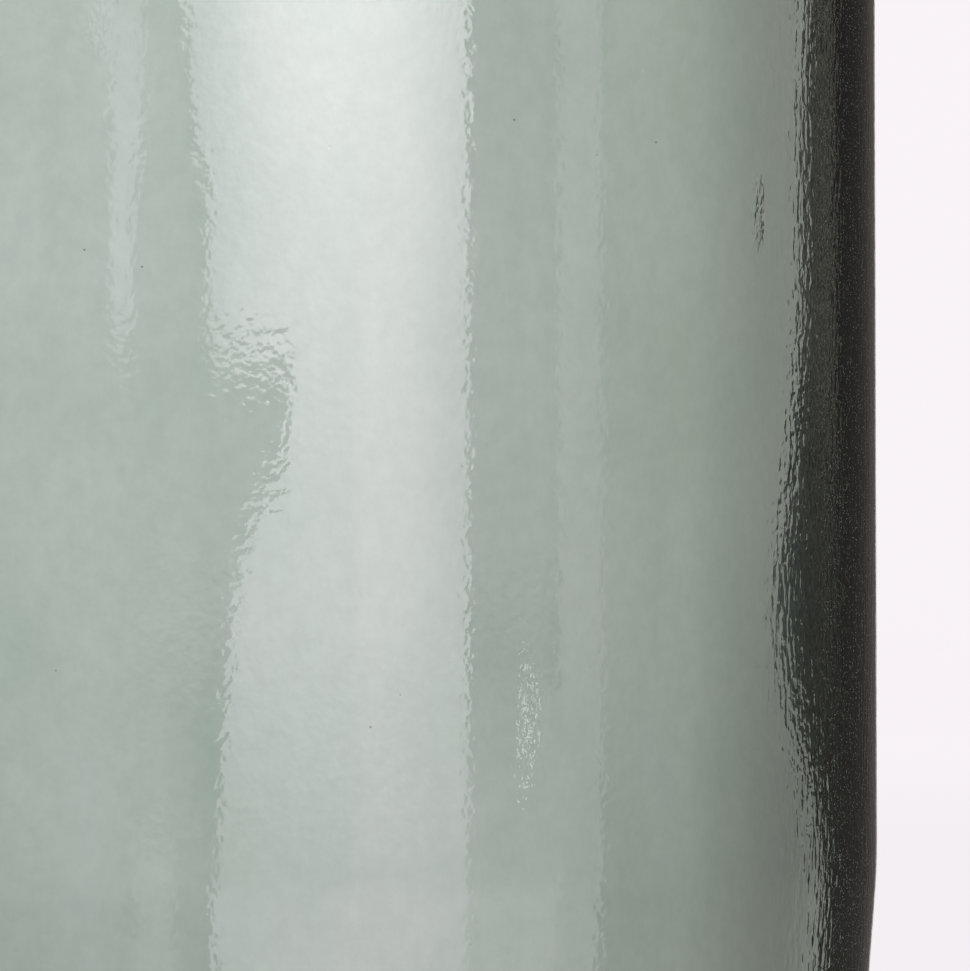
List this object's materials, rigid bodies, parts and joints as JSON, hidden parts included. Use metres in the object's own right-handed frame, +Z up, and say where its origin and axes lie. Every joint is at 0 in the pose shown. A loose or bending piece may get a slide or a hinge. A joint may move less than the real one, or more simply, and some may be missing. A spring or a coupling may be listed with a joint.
{
  "type": "stoneware vase",
  "caption": "Tall stoneware bottle vase, a near-cylindrical body with a rounded shoulder, open neck and turned foot ring, for holding flowers or for display.",
  "frame": {"origin": "centre of the foot ring's resting face, the lowest point of the vase", "axes": "+Z up along the vase's axis of rotation, from the foot to the mouth; +X and +Y are alike because the vase is round"},
  "size_m": [0.16, 0.16, 0.35],
  "materials": {
    "stoneware": "bare fired buff-brown stoneware, dry and slightly gritty, with iron specks",
    "celadon_glaze": "glossy grey-green glaze with soft mottling, a fine ripple and small iron specks",
    "liner_glaze": "glossy grey-green glaze over throwing rings",
    "base_glaze": "glossy grey-green glaze, thinner and browner at its edge"
  },
  "bodies": {
    "root": {"clay_body": "stoneware", "outer_glaze": "celadon_glaze", "liner_glaze": "liner_glaze", "base_glaze": "base_glaze"}
  },
  "joints": []
}
